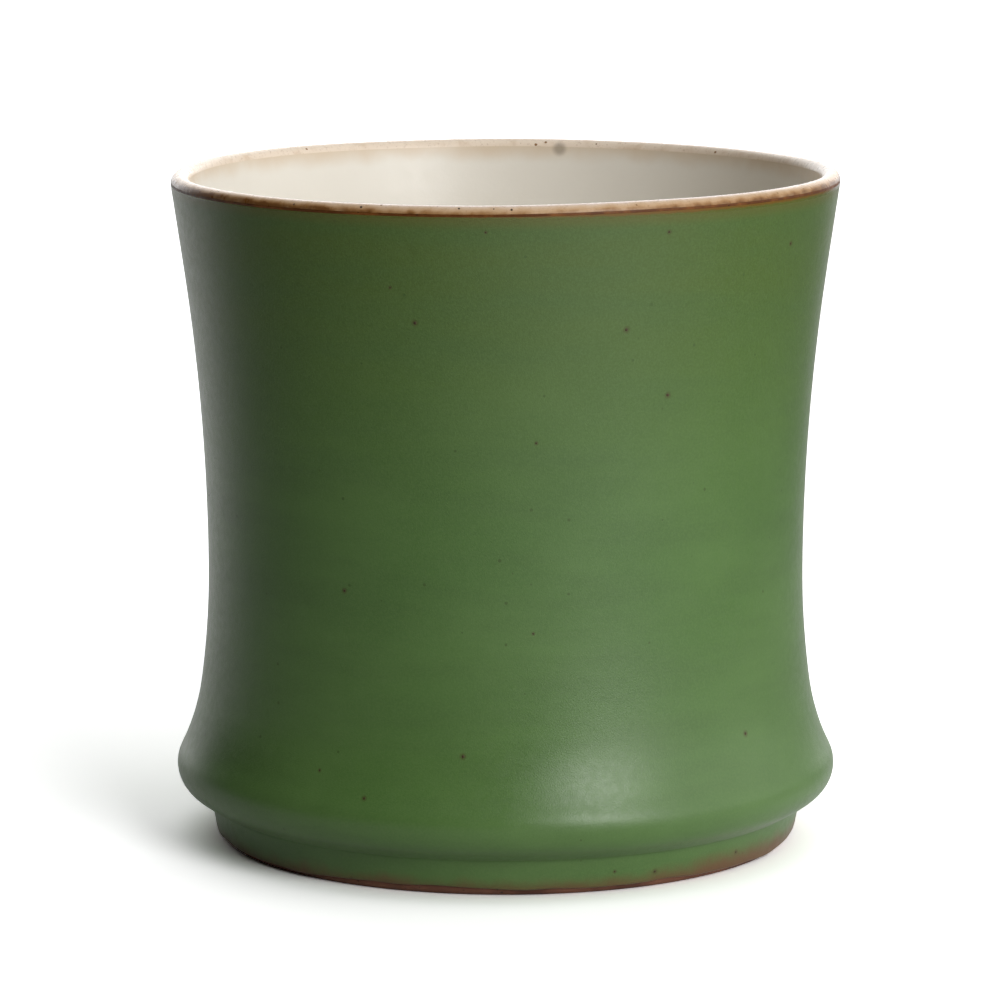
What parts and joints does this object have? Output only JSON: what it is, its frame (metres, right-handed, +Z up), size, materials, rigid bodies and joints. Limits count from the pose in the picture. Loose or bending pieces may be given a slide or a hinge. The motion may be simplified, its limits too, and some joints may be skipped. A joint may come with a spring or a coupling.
{
  "type": "brush holder pot",
  "caption": "Waisted round stoneware pot, open at the top, with a bulged base on a turned foot ring, green outside and white inside, that holds writing brushes upright.",
  "frame": {"origin": "on the pot's axis, in the plane of the foot ring that it stands on", "axes": "+Z up the pot's axis, towards the open mouth; +X and +Y level, and the pot is round, so either may face forward"},
  "size_m": [0.1, 0.1, 0.101],
  "materials": {
    "fired_clay": "matte",
    "green_glaze": "satin",
    "iron_brown_glaze": "satin",
    "tan_glaze": "satin",
    "white_glaze": "satin",
    "base_green_glaze": "satin"
  },
  "bodies": {
    "root": {"clay_body": "fired_clay", "green_outer_glaze": "green_glaze", "lip_iron_line": "iron_brown_glaze", "lip_glaze": "tan_glaze", "white_inner_glaze": "white_glaze", "base_glaze": "base_green_glaze"}
  },
  "joints": []
}
